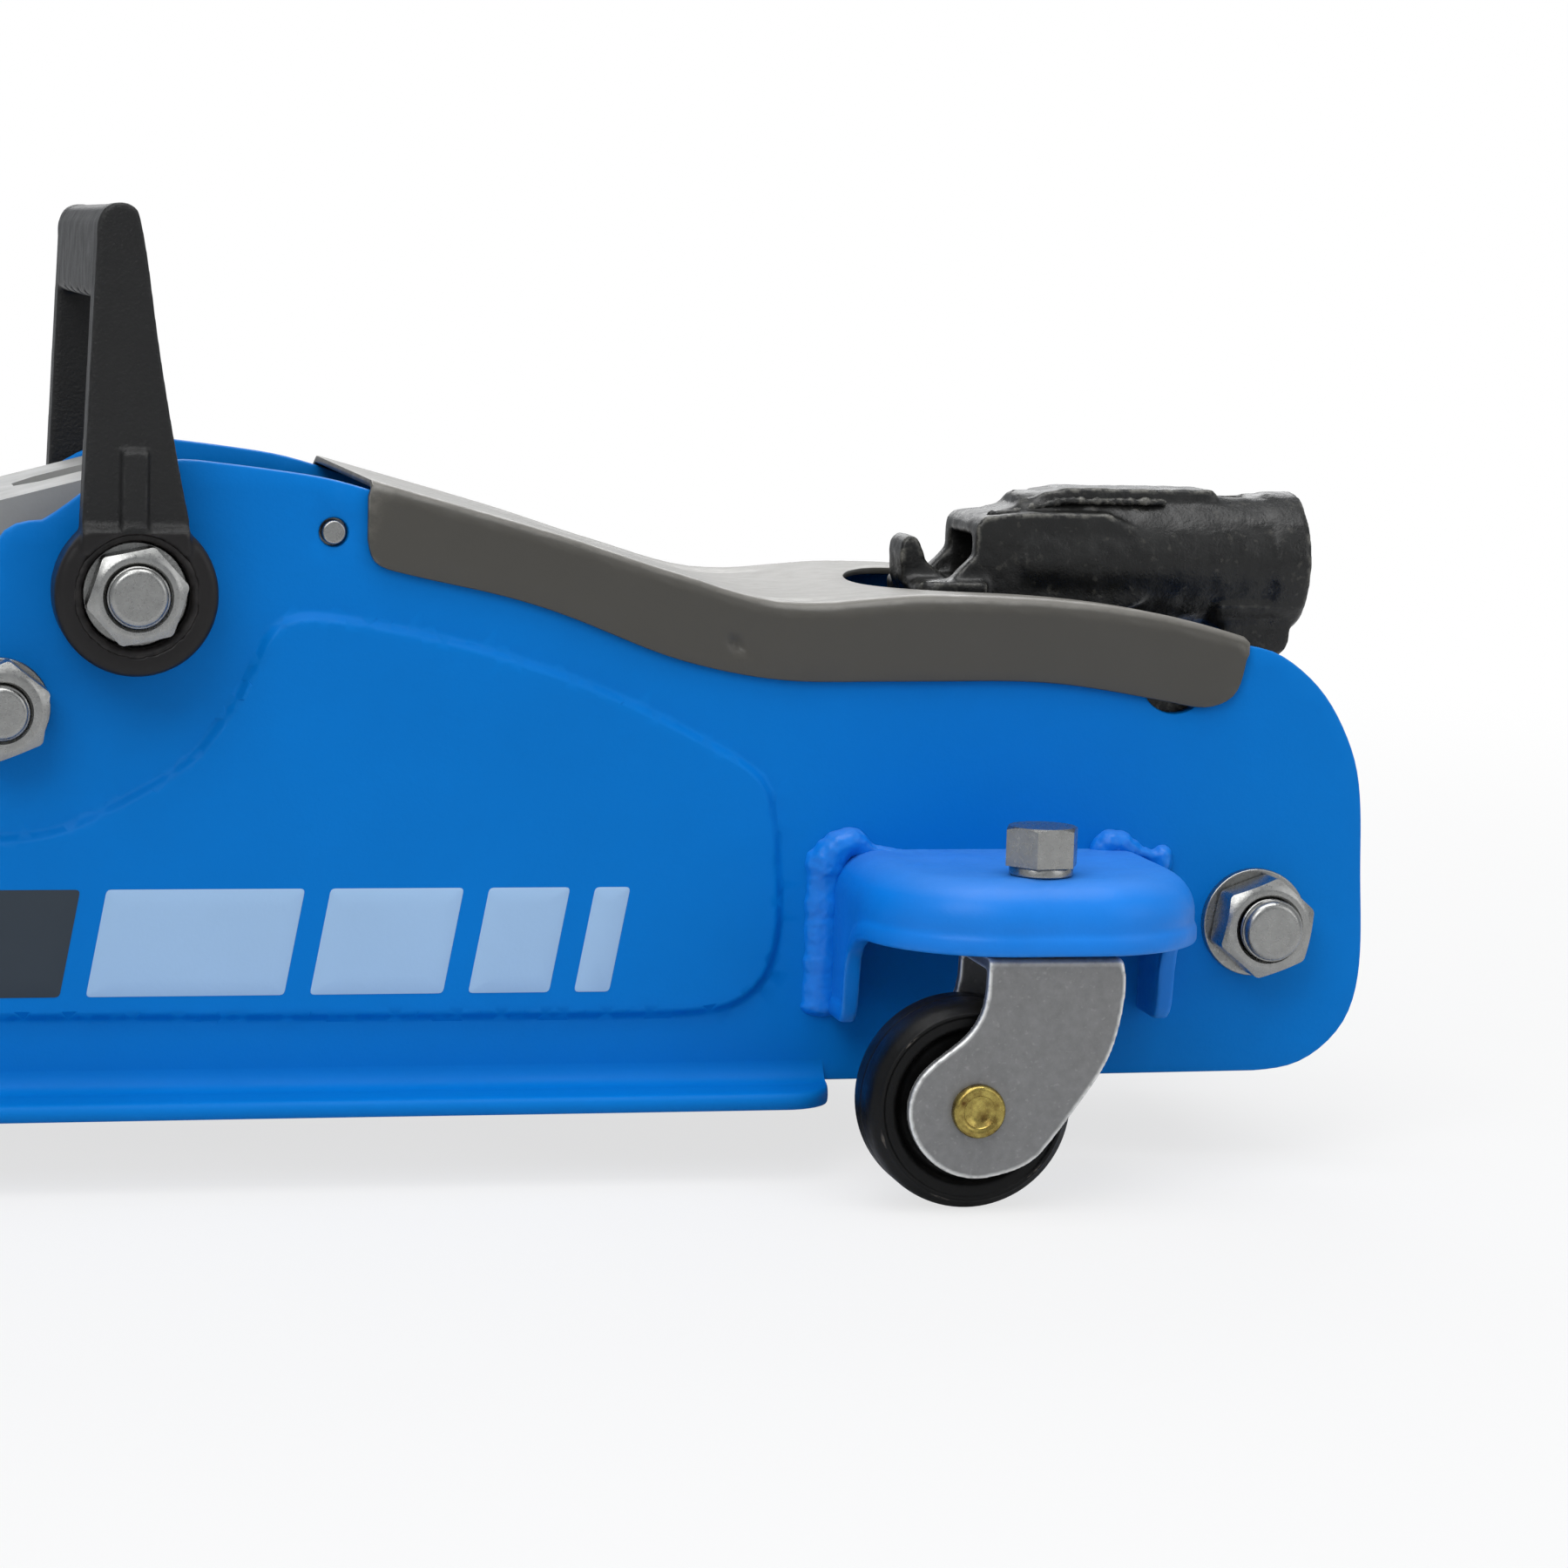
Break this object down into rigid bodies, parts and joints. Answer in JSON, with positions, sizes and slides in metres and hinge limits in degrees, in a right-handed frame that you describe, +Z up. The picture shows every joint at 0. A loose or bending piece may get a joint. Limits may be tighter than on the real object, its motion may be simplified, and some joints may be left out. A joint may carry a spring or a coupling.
{
  "type": "car jack",
  "caption": "Low-profile hydraulic trolley jack: side plates, parallelogram lift arm and saddle, ram, pump with handle socket, swivel casters and folding carry handle.",
  "frame": {"origin": "middle of the footprint's bounding box, on the floor", "axes": "+X to the rear, the handle socket's end; +Y to the far side plate; +Z up"},
  "size_m": [0.5012, 0.1896, 0.1874],
  "materials": {
    "blue_paint": "glossy blue powder coat",
    "cover_paint": "satin olive-grey enamel",
    "zinc": "bright zinc plate",
    "yellow_zinc": "yellow passivated zinc",
    "fork_zinc": "satin grey zinc plate",
    "black_casting": "semi-gloss black paint over rough casting",
    "arm_steel": "pale grey painted steel",
    "rod_grey": "dark grey painted steel",
    "chrome_rod": "hard chrome",
    "black_plastic": "grained black nylon",
    "wheel_black": "moulded black nylon",
    "steel_wheel": "machined steel",
    "saddle_iron": "black oxide casting",
    "spring_steel": "drawn spring wire",
    "seal_rubber": "nitrile rubber",
    "blue_bead": "painted weld bead"
  },
  "bodies": {
    "frame": {"side_plate_near": "blue_paint", "side_plate_far": "blue_paint", "cover_plate": "cover_paint", "caster_bracket_near": "blue_paint", "caster_bracket_far": "blue_paint", "weld_beads": "blue_bead", "rear_tie_bolt": "zinc", "frame_nuts": "zinc", "washers": "zinc", "front_spacer_bolt": "zinc", "front_spacer_tube": "rod_grey", "tie_rod_studs": "zinc", "lift_arm_shaft": "zinc", "shaft_nuts": "zinc", "spring_anchor_pin": "zinc", "power_unit_base": "black_casting", "cylinder_tube": "steel_wheel", "reservoir_tube": "black_casting", "reservoir_front_cap": "black_casting", "oil_filler_plug": "seal_rubber", "pump_gland": "zinc", "relief_valve_plug": "zinc", "pump_spring": "spring_steel", "caster_upper_races": "zinc", "caster_king_bolts": "zinc", "caster_king_washers": "zinc", "caster_king_nuts": "zinc", "front_axle": "zinc", "front_axle_sleeve": "steel_wheel", "socket_pivot_pin": "zinc", "socket_stop_pin": "black_casting", "split_pins": "zinc", "return_spring_near": "spring_steel", "return_spring_far": "spring_steel"},
    "lift_arm": {"lift_arm": "arm_steel", "lever_pin": "zinc", "saddle_pivot_pin": "zinc"},
    "saddle_base": {"saddle_base": "saddle_iron", "tie_rod_front_pin": "zinc"},
    "saddle": {"saddle": "saddle_iron"},
    "tie_rods": {"tie_rod_near": "rod_grey", "tie_rod_far": "rod_grey"},
    "ram": {"ram_rod": "chrome_rod", "piston_seal": "seal_rubber", "ram_head": "steel_wheel"},
    "handle_socket": {"handle_socket": "black_casting", "pump_roller_pin": "zinc"},
    "pump_roller": {"pump_roller": "steel_wheel"},
    "pump_plunger": {"pump_plunger": "chrome_rod"},
    "release_valve": {"release_valve_screw": "zinc"},
    "carry_handle": {"carry_handle": "black_plastic"},
    "caster_swivel_near": {"caster_fork_near": "fork_zinc", "caster_rivet_near": "yellow_zinc"},
    "caster_swivel_far": {"caster_fork_far": "fork_zinc", "caster_rivet_far": "yellow_zinc"},
    "caster_wheel_near": {"caster_wheel_near": "wheel_black"},
    "caster_wheel_far": {"caster_wheel_far": "wheel_black"},
    "front_wheel_near": {"front_wheel_near": "steel_wheel"},
    "front_wheel_far": {"front_wheel_far": "steel_wheel"}
  },
  "joints": [
    {"name": "lift_arm_hinge", "type": "hinge", "parent": "frame", "child": "lift_arm", "pos_m": [-0.0006, 0, 0.1145], "axis": [0, 1, 0], "range_deg": [0, 67], "deforming": ["return_spring_near", "return_spring_far"]},
    {"name": "saddle_base_hinge", "type": "hinge", "parent": "lift_arm", "child": "saddle_base", "pos_m": [-0.20827, 0, 0.05885], "axis": [0, 1, 0], "range_deg": [-67, 0]},
    {"name": "tie_rods_hinge", "type": "hinge", "parent": "frame", "child": "tie_rods", "pos_m": [-0.0252, 0, 0.0918], "axis": [0, 1, 0], "range_deg": [0, 67]},
    {"name": "saddle_spin", "type": "hinge", "parent": "saddle_base", "child": "saddle", "pos_m": [-0.2226, 0, 0.0746], "axis": [0, 0, 1], "continuous": true},
    {"name": "ram_slide", "type": "slide", "parent": "frame", "child": "ram", "axis": [-1, 0, 0], "range_m": [0, 0.0464]},
    {"name": "socket_hinge", "type": "hinge", "parent": "frame", "child": "handle_socket", "pos_m": [0.1854, 0, 0.101], "axis": [0, -1, 0], "range_deg": [0, 72]},
    {"name": "pump_roller_spin", "type": "hinge", "parent": "handle_socket", "child": "pump_roller", "pos_m": [0.19511, 0, 0.09395], "axis": [0, 1, 0], "continuous": true},
    {"name": "pump_plunger_slide", "type": "slide", "parent": "frame", "child": "pump_plunger", "axis": [0, 0, 1], "range_m": [0, 0.01411], "deforming": ["pump_spring"]},
    {"name": "release_valve_turn", "type": "hinge", "parent": "frame", "child": "release_valve", "pos_m": [0.2294, 0, 0.071], "axis": [1, 0, 0], "range_deg": [0, 360]},
    {"name": "carry_handle_fold", "type": "hinge", "parent": "frame", "child": "carry_handle", "pos_m": [-0.0006, 0, 0.1145], "axis": [0, 1, 0], "range_deg": [0, 58]},
    {"name": "caster_swivel_near_turn", "type": "hinge", "parent": "frame", "child": "caster_swivel_near", "pos_m": [0.1711, -0.0815, 0.05], "axis": [0, 0, 1], "continuous": true},
    {"name": "caster_swivel_far_turn", "type": "hinge", "parent": "frame", "child": "caster_swivel_far", "pos_m": [0.1711, 0.0815, 0.05], "axis": [0, 0, 1], "continuous": true},
    {"name": "caster_wheel_near_roll", "type": "hinge", "parent": "caster_swivel_near", "child": "caster_wheel_near", "pos_m": [0.1569, -0.0815, 0.0203], "axis": [0, 1, 0], "continuous": true},
    {"name": "caster_wheel_far_roll", "type": "hinge", "parent": "caster_swivel_far", "child": "caster_wheel_far", "pos_m": [0.1569, 0.0815, 0.0203], "axis": [0, 1, 0], "continuous": true},
    {"name": "front_wheel_near_roll", "type": "hinge", "parent": "frame", "child": "front_wheel_near", "pos_m": [-0.2126, -0.0338, 0.025], "axis": [0, 1, 0], "continuous": true},
    {"name": "front_wheel_far_roll", "type": "hinge", "parent": "frame", "child": "front_wheel_far", "pos_m": [-0.2126, 0.0338, 0.025], "axis": [0, 1, 0], "continuous": true}
  ],
  "couplings": [
    {"joint": "saddle_base_hinge", "follows": "lift_arm_hinge", "ratio": -1},
    {"joint": "tie_rods_hinge", "follows": "lift_arm_hinge", "ratio": 1},
    {"joint": "ram_slide", "follows": "lift_arm_hinge", "m_per_rad": 0.039679},
    {"joint": "pump_plunger_slide", "follows": "socket_hinge", "m_per_rad": 0.011226}
  ]
}
